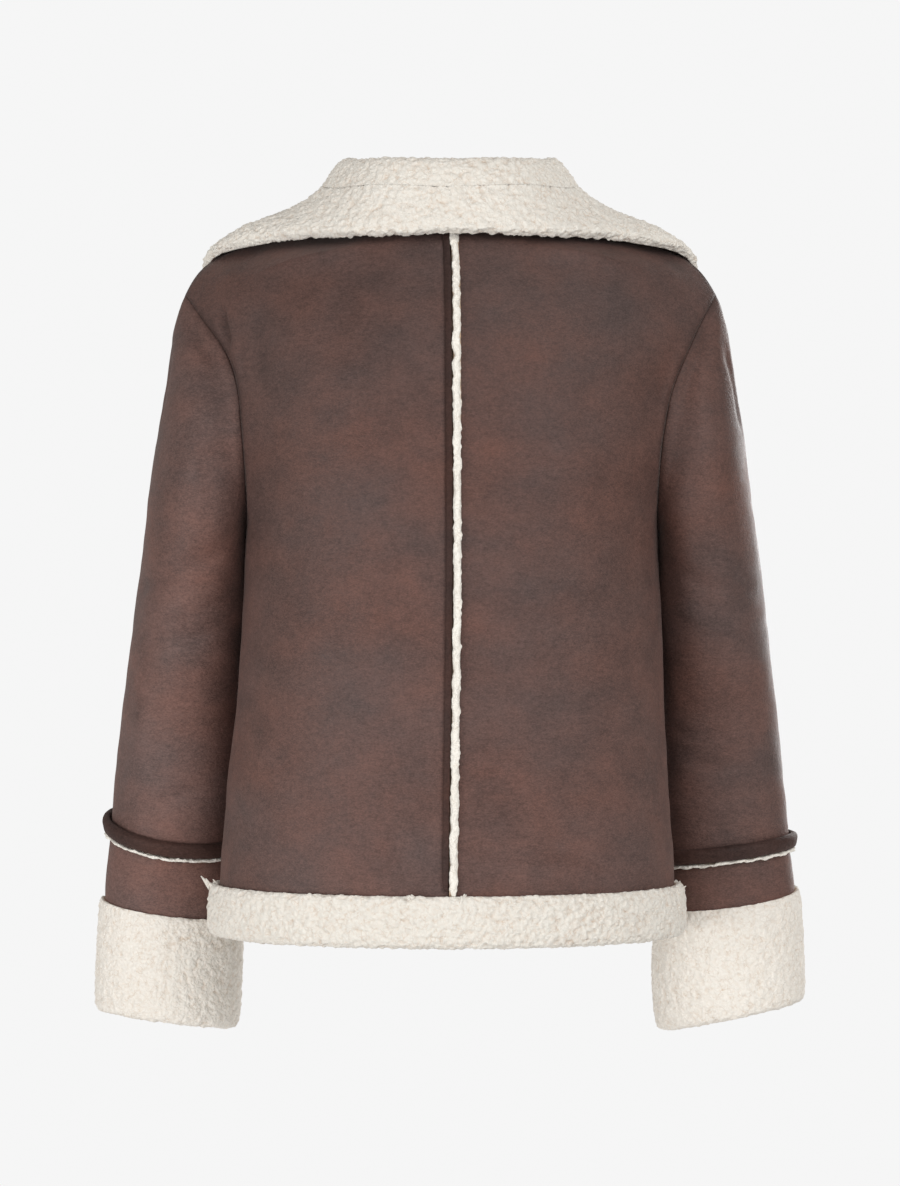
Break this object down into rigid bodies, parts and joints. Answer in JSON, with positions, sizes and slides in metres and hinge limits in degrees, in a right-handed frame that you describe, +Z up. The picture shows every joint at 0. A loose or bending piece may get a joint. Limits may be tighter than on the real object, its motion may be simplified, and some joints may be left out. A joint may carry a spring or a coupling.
{
  "type": "faux shearling jacket",
  "caption": "Short faux shearling jacket, hollow as if worn, with a wide pile shawl collar, turned-back pile cuffs, a pile hem band and a raw seam down the back.",
  "frame": {"origin": "between the two neck points of the shoulder seams, where the wearer's shoulders carry the jacket", "axes": "+X to the wearer's left, -Y out of the wearer's front, +Z up"},
  "size_m": [0.6188, 0.312, 0.7433],
  "materials": {
    "faux_suede": "matte suede nap with soft sheen",
    "pile": "curly off-white pile"
  },
  "bodies": {
    "root": {"back_left": "faux_suede", "back_right": "faux_suede", "front_left": "faux_suede", "front_right": "faux_suede", "back_seam_lip": "faux_suede", "back_seam_pile": "pile", "sleeve_left": "faux_suede", "sleeve_right": "faux_suede", "sleeve_band_left": "faux_suede", "sleeve_band_right": "faux_suede", "sleeve_seam_lip_left": "faux_suede", "sleeve_seam_lip_right": "faux_suede", "sleeve_seam_pile_left": "pile", "sleeve_seam_pile_right": "pile", "cuff_left": "pile", "cuff_right": "pile", "hem_back": "pile", "hem_front_left": "pile", "hem_front_right": "pile", "collar_stand": "pile", "collar_fall": "pile"}
  },
  "joints": []
}
